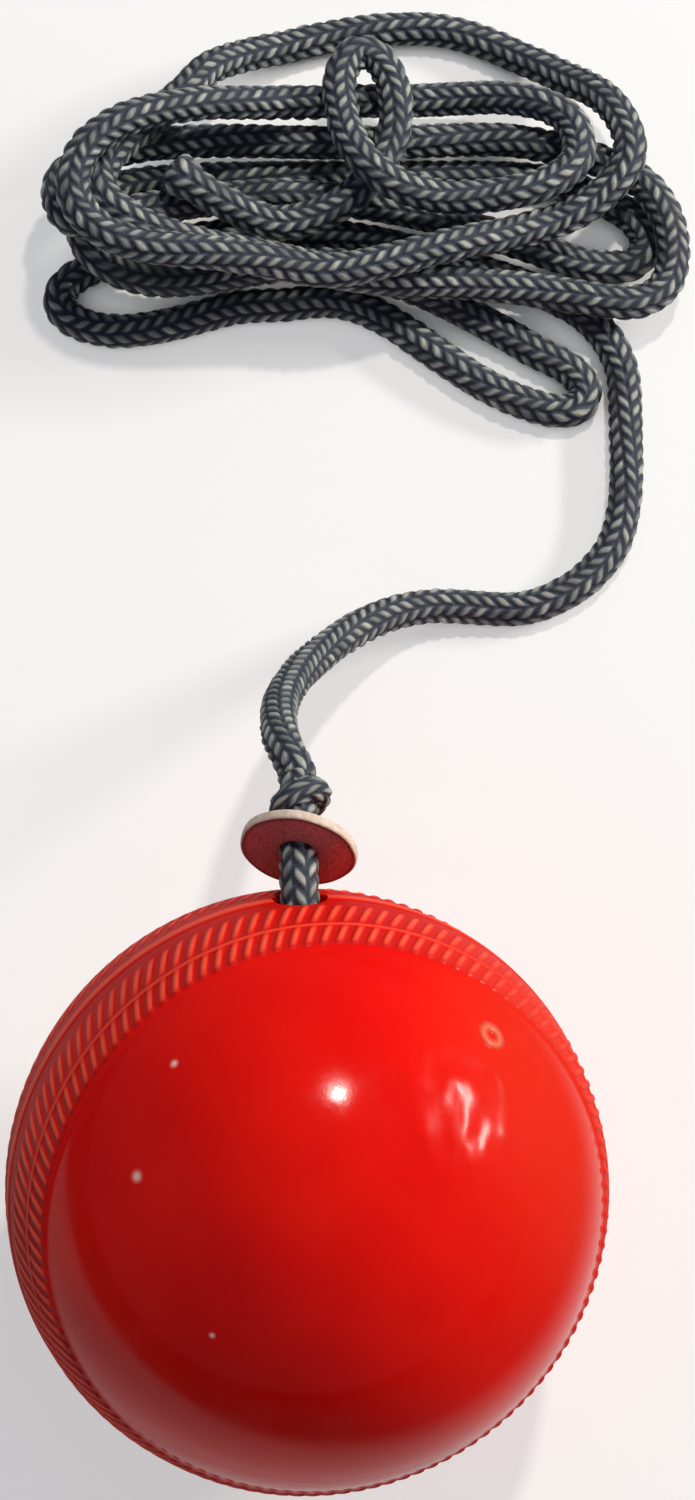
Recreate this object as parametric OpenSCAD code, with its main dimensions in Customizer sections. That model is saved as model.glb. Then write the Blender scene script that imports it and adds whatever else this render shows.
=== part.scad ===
// Hanging cricket ball: a moulded two-piece ball threaded on a limp braided cord.
// A leather washer backed by a knot stops the cord on each side of the ball, and
// the spare cord lies beside the ball in a loose hand-gathered pile.
// Millimetres. The floor is z = 0 and the ball stands on it over the origin.

/* [Ball] */
// Diameter over the plain part of the cover
ball_d = 72; // [66:0.5:78]
// Thickness of the moulded cover
cover_t = 4.5; // [3.5:0.1:5.5]
// Diameter of the hole through the ball
bore_d = 6.4; // [5.8:0.1:7.2]
// Angle of the hole above the floor, degrees
bore_rise = 26; // [22:1:30]
// Turn of the hole about the upright, degrees
bore_swing = 1.5; // [0:0.5:3]
// Turn of the seam about the hole, degrees
seam_turn = 11; // [5:1:17]

/* [Seam] */
// Width of the raised seam band, both halves
band_w = 27; // [24:0.5:29]
// Height of the band over the cover
band_h = 0.3; // [0.2:0.05:0.4]
// Distance of each thin ridge from the middle of the seam
ridge_off = 9.2; // [8.5:0.1:10]
// Width of a ridge
ridge_w = 0.9; // [0.6:0.1:1.2]
// Height of a ridge over the band
ridge_h = 0.2; // [0.1:0.05:0.3]
// Width of the parting line in the middle of the seam
parting_w = 2; // [1.6:0.1:2.4]

/* [Cord] */
// Diameter of the braided cord
cord_d = 4.5; // [4:0.1:5]
// Radius of the cord's bend where it leaves the ball
neck_bend_r = 9; // [9:0.5:12]
// Angle the cord turns through there, degrees
neck_bend = 47; // [43:1:51]

/* [Washers and knots] */
// Diameter of each leather washer
washer_d = 14.2; // [13:0.1:14.7]
// Thickness of each washer
washer_t = 1.3; // [1:0.1:1.6]
// Diameter of the hole in the washer outside the ball
washer_hole_d = 5.4; // [5.3:0.1:6]
// Tilt of the outside washer on the cord, degrees
washer_tilt = 10; // [6:1:11]
// Free travel of the outside washer
washer_travel = 2.2; // [1.5:0.1:3]
// Diameter of the knot behind the outside washer
knot_d = 8.2; // [7.8:0.1:9.6]
// Length of that knot
knot_len = 6.4; // [6:0.1:8]
// Diameter of the recess in the foot of the ball
recess_d = 15.2; // [15:0.1:16.4]
// Depth of the recess, from the ball's surface
recess_depth = 12; // [11.5:0.1:13]
// Diameter of the knot in the recess
foot_knot_d = 10; // [8.8:0.1:11]
// Length of the knot in the recess
foot_knot_len = 7.6; // [7:0.1:7.8]

/* [Hidden] */
$fn = 96;
ball_r = ball_d / 2;
inner_r = ball_r - cover_t;
// thickness of the bond between the cover and the solid middle
bond_gap = 0.1;
core_r = inner_r - bond_gap;
cord_r = cord_d / 2;
// clearance between pieces that move on each other
running_gap = 0.3;
// top of the highest raised line on the seam
seam_top_r = ball_r + band_h + ridge_h;

// distances along the hole, from the middle of the ball
recess_s = ball_r - recess_depth;
foot_washer_s = recess_s + running_gap;
foot_knot_s = foot_washer_s + washer_t;
bend_s = ball_r - 2.3;

// distances along the cord, from the end of its bend
washer_drop = 0.15;
washer_low = washer_d / 2 - washer_drop;
bend_end = [0, neck_bend_r * (1 - cos(neck_bend)), bend_s + neck_bend_r * sin(neck_bend)];
low_y = bend_end[1] + washer_low * cos(neck_bend);
low_z = bend_end[2] - washer_low * sin(neck_bend);
// the washer's lower edge rests just clear of the seam
low_need = seam_top_r + running_gap;
low_b = low_y * sin(neck_bend) + low_z * cos(neck_bend);
low_c = low_y * low_y + low_z * low_z - low_need * low_need;
washer_s = max(0.2, sqrt(max(0, low_b * low_b - low_c)) - low_b);
tilt_rise = knot_d / 2 * sin(washer_tilt);
knot_s = washer_s + washer_t + tilt_rise + washer_travel + running_gap;
lead_s = knot_s + knot_len;

// the same places in the shared frame
ahead_dir = [-sin(bore_swing), cos(bore_swing), 0];
up_dir = [0, 0, 1];
hole_dir = cos(bore_rise) * ahead_dir + sin(bore_rise) * up_dir;
down_dir = sin(bore_rise) * ahead_dir - cos(bore_rise) * up_dir;
cord_dir = cos(neck_bend) * hole_dir + sin(neck_bend) * down_dir;
knot_far = hole_place(bend_end[1], bend_end[2]) + lead_s * cord_dir;

// the cord from the knot down to the floor: x, y and height over its lying centre
LEAD_ROUTE = [
  [-2, 50.8, 44.7], [-3.1, 53.8, 41.7], [-3.7, 57.1, 37.6], [-3.7, 60.9, 32.4], [-3, 64.7, 26.7],
  [-1.6, 68.6, 21], [0.5, 72.4, 15.4], [3.4, 76.2, 10.5], [7, 79.6, 6.6], [11.1, 82.3, 3.5],
  [15.4, 83.8, 1.5], [19.6, 84.2, 0.4], [24, 84, 0]
];
// where the points above put the far side of the knot
LEAD_FROM = [-1.3, 48.1, 48.5];

// the pile seen from above: x, y and the order in which it was laid down
PILE_ROUTE = [
  [18, 84, 2], [24, 84, 2], [28.5, 84, 2], [33, 85.5, 2], [37.5, 88.5, 2], [41, 93, 2],
  [42.5, 98, 2], [43, 103.5, 2], [43, 109, 2], [43, 114, 2], [42.5, 119, 2], [40, 124, 2],
  [35.5, 128, 2], [29, 131, 2], [20, 134, 1.9], [10, 137, 1.9], [0, 138.5, 1.9], [-10, 138.5, 1.9],
  [-20, 137, 1.9], [-27.5, 134.8, 1.6], [-33, 132, 1.3], [-35, 129, 1], [-33.5, 126, 1],
  [-29, 124.3, 1], [-24, 124.3, 1], [-18, 125.5, 1], [-11, 127.5, 1], [-4, 128, 1], [3, 128.5, 1],
  [9, 126.5, 1], [15, 122.5, 1], [21, 118, 1], [27, 114.5, 1], [33, 112.5, 1], [36.5, 113, 1],
  [37.5, 115.5, 1], [35.5, 118.5, 1], [31, 121, 1.1], [26, 124, 1.2], [19, 127.5, 1.3],
  [11, 130.5, 1.4], [3, 132.5, 1.5], [-6, 132, 1.6], [-14, 130.5, 1.7], [-22, 130, 1.8],
  [-28.5, 132, 2.2], [-31.5, 136, 2.3], [-31, 141, 2.4], [-26, 145, 2.4], [-17, 146.5, 2.4],
  [-6, 147, 2.4], [4, 147, 2.4], [14, 147, 2.4], [23, 147, 2.4], [32, 146.5, 2.4],
  [39.5, 144, 2.4], [44.5, 141, 2.5], [46.5, 137, 2.6], [44, 133.8, 2.6], [38, 133.5, 2.6],
  [29, 136, 2.6], [16, 140, 2.6], [4, 142, 2.6], [-6, 142.5, 2.6], [-15, 141, 2.7],
  [-23, 138.5, 2.8], [-29, 136, 2.9], [-33, 136.5, 3], [-34.8, 140, 3], [-33.8, 144, 3],
  [-29.5, 147.2, 3], [-23.5, 149.5, 3], [-17, 150.5, 3], [-10.5, 150.8, 3], [-3.5, 150.6, 3],
  [4, 150.4, 3], [12, 150.6, 3], [20, 151, 3], [28, 150.8, 3], [36, 149, 3], [42, 146.8, 3],
  [46.5, 143.5, 3], [49.2, 138.5, 3], [49.7, 133, 3], [48, 128.7, 3], [43.5, 126.5, 3],
  [37, 127, 3.1], [29, 128, 3.2], [20, 128.5, 3.3], [11, 128.5, 3.4], [3, 129.5, 3.5],
  [-5, 131, 3.6], [-14, 132, 3.7], [-22, 133.5, 3.8], [-27.3, 136.8, 3.9], [-28.6, 141.5, 4],
  [-26, 146.5, 4], [-21.5, 151.5, 4], [-17.5, 156, 4], [-14.5, 160.5, 4], [-10, 164, 4],
  [-4, 166.5, 4], [3, 168.5, 4], [10, 169.5, 4], [17, 169.5, 4], [23, 168, 4], [29, 165, 4],
  [35, 161, 4], [40, 156.5, 4], [43, 151, 4.1], [43.5, 146, 4.2], [41, 142, 4.3],
  [36.5, 138.5, 4.4], [30.5, 136, 4.5], [24, 133.5, 4.6], [16, 131, 4.7], [8, 128.5, 4.8],
  [1, 127.5, 4.9], [-6, 128.5, 5], [-14, 129, 5], [-20.5, 129.3, 5], [-26.8, 130.8, 5],
  [-31, 134.3, 5], [-32, 138.8, 5], [-30, 143.5, 5], [-25, 147.5, 5], [-18, 150.5, 5],
  [-10.5, 152.5, 5], [-3.5, 154, 4.5], [3.5, 155.3, 3.4], [10.5, 156.3, 3.2], [17.5, 156.8, 3.2],
  [24.5, 156.5, 3.2], [30.2, 155, 4.5], [34.5, 152.5, 5.5], [36.5, 149, 5.6], [36, 144.5, 5.7],
  [31.5, 141, 5.8], [25, 139.5, 5.9], [18, 139, 6], [12, 140, 6], [7.5, 143, 6], [5, 147.5, 6],
  [4, 152.5, 6], [4, 157, 6], [6, 160.5, 6], [9, 160, 5.9], [11, 156.5, 5.8], [11.5, 152, 5.4],
  [10.5, 147.5, 5.2], [7.5, 142.5, 5.1], [2.5, 138.5, 5.1], [-4.5, 136.5, 5.1], [-10.5, 138, 5.1],
  [-15.5, 140.5, 5.1], [-19.5, 143.2, 5.1]
];
// the cord the pile was drawn for, its spread follows the cord's diameter
PILE_CORD = 4.5;
// distance kept between the middles of two strands that cross
lay_d = cord_d * 1.19;
// radius a strand keeps as it rides up over another
lay_r = cord_d * 3.6;

// smooth curve through points
function blend(a, b, c, d, t) =
  0.5 * (2 * b + (c - a) * t + (2 * a - 5 * b + 4 * c - d) * t * t + (3 * b - a - 3 * c + d) * t * t * t);
function before(p, i) = i > 0 ? p[i - 1] : 2 * p[0] - p[1];
function after(p, i) = i + 2 < len(p) ? p[i + 2] : 2 * p[i + 1] - p[i];
function curve(p, k) = concat(
  [for (i = [0:len(p) - 2]) for (q = [0:k - 1]) blend(before(p, i), p[i], p[i + 1], after(p, i), q / k)],
  [p[len(p) - 1]]
);
function flat(p) = [p[0], p[1]];
function unit(v) = v / norm(v);

// distance run along a route at each of its points
function runs(p) = [for (i = 0, s = 0; i < len(p); s = s + (i + 1 < len(p) ? norm(p[i + 1] - p[i]) : 0), i = i + 1) s];

// every place where a strand rides over one laid before it: [segment, place on it, rise]
function place(a, b, c) = max(0, min(1, (c - a) * (b - a) / ((b - a) * (b - a))));
function rides(m, s) = [
  for (i = [0:len(m) - 1]) [
    for (j = [0:len(m) - 2])
      if (m[j][2] < m[i][2] && abs(m[j][0] - m[i][0]) < 3 * lay_d && abs(m[j][1] - m[i][1]) < 3 * lay_d)
        let (
          a = flat(m[j]),
          b = flat(m[j + 1]),
          c = flat(m[i]),
          t = place(a, b, c),
          off = norm(c - a - t * (b - a))
        )
          if (off < lay_d && abs(s[i] - s[j]) > 3 * lay_d) [j, t, sqrt(lay_d * lay_d - off * off)]
  ]
];
// height each point needs over the strands under it
function needs(z, ride) = [
  for (r = ride) max(concat([cord_r], [for (q = r) z[q[0]] * (1 - q[1]) + z[q[0] + 1] * q[1] + q[2]]))
];
// the cord rises and falls in easy arcs round each need
function arcs(q, s) = [
  for (i = [0:len(q) - 1])
    max([for (j = [max(0, i - 8):min(len(q) - 1, i + 8)]) q[j] - pow(s[j] - s[i], 2) / (2 * lay_r)])
];
// and bridges the hollows between them
function bridged(z, n) = n == 0 ? z : bridged([
  for (i = [0:len(z) - 1]) i < 3 || i == len(z) - 1 ? z[i] : max(z[i], (z[i - 1] + z[i + 1]) / 2)
], n - 1);
function settled(z, ride, s, n) = n == 0 ? z : settled(bridged(arcs(needs(z, ride), s), 3), ride, s, n - 1);

function pile_plan() = [
  for (p = PILE_ROUTE) [
    PILE_ROUTE[1][0] + (p[0] - PILE_ROUTE[1][0]) * cord_d / PILE_CORD,
    PILE_ROUTE[1][1] + (p[1] - PILE_ROUTE[1][1]) * cord_d / PILE_CORD,
    p[2]
  ]
];
function pile_laid(m) =
  let (
    s = runs([for (q = m) flat(q)]),
    z = settled([for (q = m) cord_r], rides(m, s), s, 9)
  ) [for (i = [0:len(m) - 1]) [m[i][0], m[i][1], z[i]]];
function pile_path() = let (m = curve(pile_plan(), 2)) pile_laid([for (i = [2:len(m) - 1]) m[i]]);

// a place in the plane of the hole: how far down from it, how far along it
function hole_place(y, z) = [0, 0, ball_r] + y * down_dir + z * hole_dir;
function neck_path() = concat(
  [for (i = [0:6]) hole_place(0, -foot_knot_s + (foot_knot_s + bend_s) * i / 6)],
  [for (i = [1:8]) let (b = neck_bend * i / 8)
    hole_place(neck_bend_r * (1 - cos(b)), bend_s + neck_bend_r * sin(b))],
  [hole_place(bend_end[1], bend_end[2]) + knot_s * cord_dir]
);

function lead_points() = concat(
  [knot_far, knot_far + cord_d * 0.3 * cord_dir],
  [for (i = [0:len(LEAD_ROUTE) - 1])
    LEAD_ROUTE[i] + [0, 0, cord_r] + max(0, 1 - i / 8) * (knot_far - LEAD_FROM)]
);

// round tube of n sides along a path, square at both ends
function heading(p, i) = unit(p[min(i + 1, len(p) - 1)] - p[max(i - 1, 0)]);
function ring(c, t, r, n) =
  let (
    u = unit(cross(t, [0, 0, 1])),
    v = cross(u, t)
  ) [for (j = [0:n - 1]) c + r * (cos(360 * j / n) * u + sin(360 * j / n) * v)];
module tube(p, first, last, r, n) {
  m = len(p);
  points = [
    for (i = [0:m - 1]) each ring(p[i], i == 0 ? first : i == m - 1 ? last : heading(p, i), r, n)
  ];
  faces = concat(
    [for (j = [1:n - 2]) [0, j + 1, j]],
    [for (i = [0:m - 2]) for (j = [0:n - 1]) [i * n + j, i * n + (j + 1) % n, (i + 1) * n + (j + 1) % n]],
    [for (i = [0:m - 2]) for (j = [0:n - 1]) [i * n + j, (i + 1) * n + (j + 1) % n, (i + 1) * n + j]],
    [for (j = [1:n - 2]) [(m - 1) * n, (m - 1) * n + j, (m - 1) * n + j + 1]]
  );
  polyhedron(points = points, faces = faces);
}
// least distance between strands of one tube, stretches next to each other left out
function gap_of(p, s) = min([
  for (i = [0:len(p) - 1]) for (j = [i + 1:1:len(p) - 1]) if (s[j] - s[i] > 4 * cord_d) norm(p[j] - p[i])
]) - cord_d;

// node list of the object

// the hole's own frame: z runs out of the mouth, y leans down
module hole_frame() {
  translate([0, 0, ball_r]) rotate([bore_rise - 90, 0, bore_swing]) children();
}
// the cord's frame at the end of its bend: z runs along the cord
module cord_frame() {
  hole_frame() translate(bend_end) rotate([-neck_bend, 0, 0]) children();
}

// outline of half a cover from the seam up, with its raised band and lines
module cover_outline() {
  intersection() {
    difference() {
      union() {
        circle(r = ball_r);
        intersection() {
          circle(r = ball_r + band_h);
          square([2 * ball_d, band_w], center = true);
        }
        intersection() {
          circle(r = ball_r + band_h + ridge_h);
          union() {
            square([2 * ball_d, parting_w], center = true);
            translate([0, ridge_off - ridge_w / 2]) square([2 * ball_d, ridge_w]);
          }
        }
      }
      circle(r = inner_r);
    }
    square([ball_d, ball_d]);
  }
}
module half_cover(side) {
  hole_frame() rotate([0, 0, seam_turn]) difference() {
    rotate([side * 90, 0, 0]) rotate_extrude() cover_outline();
    cylinder(h = 2 * ball_d, d = bore_d, center = true);
    translate([0, 0, -ball_d]) cylinder(h = ball_d - recess_s, d = recess_d);
  }
}
module cover_near() {
  color([0.72, 0.04, 0.03]) half_cover(1);
}
module cover_far() {
  color([0.66, 0.04, 0.03]) half_cover(-1);
}

// solid middle of the ball
module core() {
  color([0.45, 0.3, 0.2]) hole_frame() difference() {
    sphere(r = core_r);
    cylinder(h = 2 * ball_d, d = bore_d, center = true);
    translate([0, 0, -ball_d]) cylinder(h = ball_d - recess_s, d = recess_d);
  }
}

// cord through the ball and round its bend to the knot
module cord_neck() {
  color([0.33, 0.33, 0.36]) tube(neck_path(), hole_dir, cord_dir, cord_r, 12);
}

// pulled-down knot behind the outside washer
module knot(d, h) {
  strand = 0.28 * h;
  rotate_extrude() {
    square([d / 2 - strand, h]);
    translate([d / 2 - strand, strand]) circle(r = strand);
    translate([d / 2 - strand, h - strand]) circle(r = strand);
  }
}
module stop_knot() {
  color([0.3, 0.3, 0.33]) cord_frame() translate([0, 0, knot_s]) knot(knot_d, knot_len);
}

// leather washer between the ball and the knot
module top_washer() {
  color([0.5, 0.2, 0.18]) cord_frame() translate([0, -washer_drop, washer_s + washer_t / 2])
    rotate([0, washer_tilt, 0]) difference() {
      cylinder(h = washer_t, d = washer_d, center = true);
      cylinder(h = 2 * washer_t, d = washer_hole_d, center = true);
    }
}

// washer and knot hidden in the foot of the ball
module foot_washer() {
  color([0.5, 0.2, 0.18]) hole_frame() translate([0, 0, -foot_knot_s]) difference() {
    cylinder(h = washer_t, d = washer_d);
    translate([0, 0, -washer_t]) cylinder(h = 3 * washer_t, r = cord_r);
  }
}
module foot_knot() {
  color([0.3, 0.3, 0.33]) hole_frame() translate([0, 0, -foot_knot_s]) mirror([0, 0, 1])
    knot(foot_knot_d, foot_knot_len);
}

// free cord from the knot down to the floor
module cord_lead() {
  color([0.33, 0.33, 0.36]) tube(curve(lead_points(), 2), cord_dir, [1, 0, 0], cord_r, 10);
}

// spare cord in its loose pile
module cord_pile() {
  p = pile_path();
  f = curve(p, 2);
  echo(pile_rings = len(p), pile_length = runs(p)[len(p) - 1], least_gap = gap_of(f, runs(f)));
  color([0.33, 0.33, 0.36]) tube(p, [1, 0, 0], heading(p, len(p) - 1), cord_r, 8);
}

cover_near();
cover_far();
core();
cord_neck();
stop_knot();
top_washer();
foot_washer();
foot_knot();
cord_lead();
cord_pile();
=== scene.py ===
# %% [markdown]
# # A hanging cricket ball
#
# The object is a moulded practice ball threaded on a braided cord. A leather washer
# and a knot stop the cord where it leaves the ball, and the spare cord lies beside
# the ball in a loose pile. The solids give every size and every place. This lesson
# gives the pieces the surfaces that the hand and the eye know: braid, moulded
# stitches, punched leather and scuffed red plastic.

import bmesh
import bpy
import math
import numpy as np
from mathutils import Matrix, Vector


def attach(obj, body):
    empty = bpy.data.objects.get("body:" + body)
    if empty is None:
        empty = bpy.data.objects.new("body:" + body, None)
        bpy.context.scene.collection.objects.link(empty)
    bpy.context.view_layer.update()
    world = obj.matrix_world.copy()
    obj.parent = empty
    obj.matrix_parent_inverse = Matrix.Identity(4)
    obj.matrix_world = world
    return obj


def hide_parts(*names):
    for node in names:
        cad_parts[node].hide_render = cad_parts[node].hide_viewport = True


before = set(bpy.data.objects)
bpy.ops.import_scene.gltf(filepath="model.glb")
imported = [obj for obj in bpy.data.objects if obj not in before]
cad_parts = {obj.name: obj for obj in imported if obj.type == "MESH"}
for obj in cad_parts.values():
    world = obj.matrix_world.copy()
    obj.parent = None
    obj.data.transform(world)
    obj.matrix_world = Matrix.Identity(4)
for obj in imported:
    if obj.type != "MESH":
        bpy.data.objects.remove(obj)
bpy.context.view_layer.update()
MM = 0.001

# %% [markdown]
# ## The camera
#
# The photograph looks down on the ball from 75 degrees above the floor. A long lens
# half a metre away keeps the ball round and the pile of cord nearly flat. A constraint
# could aim it, but two points say plainly where the camera stands and what it looks at.
# The frame is tall, so the sensor's 36 mm lie along its height.

# %% Make the camera
eye = Vector((4.86, -67.84, 494.96)) * MM
look_at = Vector((4.86, 61.57, 12.0)) * MM
camera = bpy.data.objects.new("camera", bpy.data.cameras.new("camera"))
camera.data.sensor_width = 36.0
camera.data.lens = 91.28
camera.data.clip_start = 0.01
camera.location = eye
camera.rotation_mode = "QUATERNION"
camera.rotation_quaternion = (look_at - eye).to_track_quat("-Z", "Y")
bpy.context.scene.collection.objects.link(camera)
bpy.context.scene.camera = camera
print("camera", round((look_at - eye).length, 3), "m from its aim")

# %% [markdown]
# ## Where the pieces are
#
# The hole through the ball points 26 degrees above the floor. The cord comes out of it,
# bends over and runs down to the floor. These places could be read back from the solids,
# but a few sizes and directions say more. They are the sizes of the solids, kept in
# millimetres until the last moment, because that is how such a ball is measured.

# %% Sizes
ball_r = 36.0
cover_t = 4.5
bore_r = 3.2
recess_r = 7.6
cord_r = 2.25
bend_r = 9.0
bend = math.radians(47)
bend_s = ball_r - 2.3
foot_s = 25.6
washer_s = 0.956
washer_half = 0.65
knot_s = 5.468
knot_len = 6.4
rise = math.radians(26)
swing = math.radians(1.5)
seam_turn = math.radians(11)
print("ball", 2 * ball_r, "mm, cord", 2 * cord_r, "mm")

# %% Directions
middle = np.array([0.0, 0.0, ball_r])
up_dir = np.array([0.0, 0.0, 1.0])
ahead_dir = np.array([-math.sin(swing), math.cos(swing), 0.0])
hole_dir = math.cos(rise) * ahead_dir + math.sin(rise) * up_dir
down_dir = math.sin(rise) * ahead_dir - math.cos(rise) * up_dir
side_dir = np.cross(ahead_dir, up_dir)
cord_dir = math.cos(bend) * hole_dir + math.sin(bend) * down_dir
over_dir = math.cos(bend) * down_dir - math.sin(bend) * hole_dir


def in_hole(y, s):
    """The place s mm along the hole's axis and y mm below it."""
    return middle + y * down_dir + s * hole_dir


bend_end = in_hole(bend_r * (1 - math.cos(bend)), bend_s + bend_r * math.sin(bend))
knot_far = bend_end + (knot_s + knot_len) * cord_dir
print("cord leaves its knot at", knot_far.round(2), "mm")

# %% [markdown]
# ## The way the cord lies
#
# A cord is a fixed length of something limp. A simulation could drop it, but it would
# never fall into this very lie. So its way is chosen from the photograph, seen
# from above. The lead's points have a height, and the third number of the pile's points
# is the order in which that stretch was laid down. These are the points of the solids.

# %% Route points
lead_route = [
    (-2, 50.8, 44.7), (-3.1, 53.8, 41.7), (-3.7, 57.1, 37.6), (-3.7, 60.9, 32.4), (-3, 64.7, 26.7),
    (-1.6, 68.6, 21), (0.5, 72.4, 15.4), (3.4, 76.2, 10.5), (7, 79.6, 6.6), (11.1, 82.3, 3.5),
    (15.4, 83.8, 1.5), (19.6, 84.2, 0.4), (24, 84, 0),
]
lead_from = np.array([-1.3, 48.1, 48.5])
pile_route = [
    (18, 84, 2), (24, 84, 2), (28.5, 84, 2), (33, 85.5, 2), (37.5, 88.5, 2), (41, 93, 2),
    (42.5, 98, 2), (43, 103.5, 2), (43, 109, 2), (43, 114, 2), (42.5, 119, 2), (40, 124, 2),
    (35.5, 128, 2), (29, 131, 2), (20, 134, 1.9), (10, 137, 1.9), (0, 138.5, 1.9),
    (-10, 138.5, 1.9), (-20, 137, 1.9), (-27.5, 134.8, 1.6), (-33, 132, 1.3), (-35, 129, 1),
    (-33.5, 126, 1), (-29, 124.3, 1), (-24, 124.3, 1), (-18, 125.5, 1), (-11, 127.5, 1),
    (-4, 128, 1), (3, 128.5, 1), (9, 126.5, 1), (15, 122.5, 1), (21, 118, 1), (27, 114.5, 1),
    (33, 112.5, 1), (36.5, 113, 1), (37.5, 115.5, 1), (35.5, 118.5, 1), (31, 121, 1.1),
    (26, 124, 1.2), (19, 127.5, 1.3), (11, 130.5, 1.4), (3, 132.5, 1.5), (-6, 132, 1.6),
    (-14, 130.5, 1.7), (-22, 130, 1.8), (-28.5, 132, 2.2), (-31.5, 136, 2.3), (-31, 141, 2.4),
    (-26, 145, 2.4), (-17, 146.5, 2.4), (-6, 147, 2.4), (4, 147, 2.4), (14, 147, 2.4),
    (23, 147, 2.4), (32, 146.5, 2.4), (39.5, 144, 2.4), (44.5, 141, 2.5), (46.5, 137, 2.6),
    (44, 133.8, 2.6), (38, 133.5, 2.6), (29, 136, 2.6), (16, 140, 2.6), (4, 142, 2.6),
    (-6, 142.5, 2.6), (-15, 141, 2.7), (-23, 138.5, 2.8), (-29, 136, 2.9), (-33, 136.5, 3),
    (-34.8, 140, 3), (-33.8, 144, 3), (-29.5, 147.2, 3), (-23.5, 149.5, 3), (-17, 150.5, 3),
    (-10.5, 150.8, 3), (-3.5, 150.6, 3), (4, 150.4, 3), (12, 150.6, 3), (20, 151, 3),
    (28, 150.8, 3), (36, 149, 3), (42, 146.8, 3), (46.5, 143.5, 3), (49.2, 138.5, 3),
    (49.7, 133, 3), (48, 128.7, 3), (43.5, 126.5, 3), (37, 127, 3.1), (29, 128, 3.2),
    (20, 128.5, 3.3), (11, 128.5, 3.4), (3, 129.5, 3.5), (-5, 131, 3.6), (-14, 132, 3.7),
    (-22, 133.5, 3.8), (-27.3, 136.8, 3.9), (-28.6, 141.5, 4), (-26, 146.5, 4), (-21.5, 151.5, 4),
    (-17.5, 156, 4), (-14.5, 160.5, 4), (-10, 164, 4), (-4, 166.5, 4), (3, 168.5, 4),
    (10, 169.5, 4), (17, 169.5, 4), (23, 168, 4), (29, 165, 4), (35, 161, 4), (40, 156.5, 4),
    (43, 151, 4.1), (43.5, 146, 4.2), (41, 142, 4.3), (36.5, 138.5, 4.4), (30.5, 136, 4.5),
    (24, 133.5, 4.6), (16, 131, 4.7), (8, 128.5, 4.8), (1, 127.5, 4.9), (-6, 128.5, 5),
    (-14, 129, 5), (-20.5, 129.3, 5), (-26.8, 130.8, 5), (-31, 134.3, 5), (-32, 138.8, 5),
    (-30, 143.5, 5), (-25, 147.5, 5), (-18, 150.5, 5), (-10.5, 152.5, 5), (-3.5, 154, 4.5),
    (3.5, 155.3, 3.4), (10.5, 156.3, 3.2), (17.5, 156.8, 3.2), (24.5, 156.5, 3.2),
    (30.2, 155, 4.5), (34.5, 152.5, 5.5), (36.5, 149, 5.6), (36, 144.5, 5.7), (31.5, 141, 5.8),
    (25, 139.5, 5.9), (18, 139, 6), (12, 140, 6), (7.5, 143, 6), (5, 147.5, 6), (4, 152.5, 6),
    (4, 157, 6), (6, 160.5, 6), (9, 160, 5.9), (11, 156.5, 5.8), (11.5, 152, 5.4),
    (10.5, 147.5, 5.2), (7.5, 142.5, 5.1), (2.5, 138.5, 5.1), (-4.5, 136.5, 5.1),
    (-10.5, 138, 5.1), (-15.5, 140.5, 5.1), (-19.5, 143.2, 5.1),
]
print("route points", len(lead_route), "and", len(pile_route))

# %% [markdown]
# ## Strands over strands
#
# A smooth curve runs through the points. Where a strand crosses one that was laid before,
# it rides over it in an easy arc and bridges the hollows between. Heights could be set by
# hand too, but every change to the route would upset them. So they are worked out, in a
# few passes over the whole pile, because a strand that lifts also lifts those above it.


# %% A smooth curve through points
def smooth(points, k):
    """Catmull-Rom curve with k steps between each two points."""
    p = np.array(points, float)
    p = np.vstack([2 * p[0] - p[1], p, 2 * p[-1] - p[-2]])
    t = (np.arange(k) / k)[None, :, None]
    a, b, c, d = (q[:, None, :] for q in (p[:-3], p[1:-2], p[2:-1], p[3:]))
    cubic = (2 * a - 5 * b + 4 * c - d) * t**2 + (3 * b - a - 3 * c + d) * t**3
    steps = 0.5 * (2 * b + (c - a) * t + cubic)
    return np.vstack([steps.reshape(-1, p.shape[1]), p[-2]])


def run(points):
    """Distance run along a line of points."""
    return np.r_[0, np.cumsum(np.linalg.norm(np.diff(points, axis=0), axis=1))]


plan = smooth(pile_route, 2)[2:]
flat, order = plan[:, :2], plan[:, 2]
along = run(flat)
print("pile", round(along[-1]), "mm long, seen from above")

# %% Find the crossings
lay_d = 2 * cord_r * 1.19
lay_r = 2 * cord_r * 3.6


def rides_over(i):
    """Strands under point i: their segment, the place on it and the rise needed."""
    a, b = flat[:-1], flat[1:] - flat[:-1]
    t = np.clip(((flat[i] - a) * b).sum(1) / (b * b).sum(1), 0, 1)
    off = np.linalg.norm(flat[i] - a - t[:, None] * b, axis=1)
    under = (order[:-1] < order[i]) & (off < lay_d) & (abs(along[i] - along[:-1]) > 3 * lay_d)
    j = np.flatnonzero(under)
    return j, t[j], np.sqrt(lay_d**2 - off[j] ** 2)


crossings = [rides_over(i) for i in range(len(plan))]
print("points that ride over others", sum(len(j) > 0 for j, t, h in crossings))

# %% Lay the pile down
passes, fills, reach = 9, 3, 8
index = np.arange(len(plan))
near_by = abs(np.subtract.outer(index, index)) <= reach
arc_drop = (along[None, :] - along[:, None]) ** 2 / (2 * lay_r)
height = np.full(len(plan), cord_r)
for _ in range(passes):
    need = [max([cord_r, *(height[j] * (1 - t) + height[j + 1] * t + h)]) for j, t, h in crossings]
    height = np.where(near_by, np.array(need)[None, :] - arc_drop, -1.0).max(1)
    for _ in range(fills):
        bridge = np.maximum(height[1:-1], (height[:-2] + height[2:]) / 2)
        height[3:-1] = bridge[2:]
pile = np.c_[flat, height]
print("pile", round(run(pile)[-1]), "mm of cord, up to", round(height.max() + cord_r, 1), "mm high")

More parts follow.
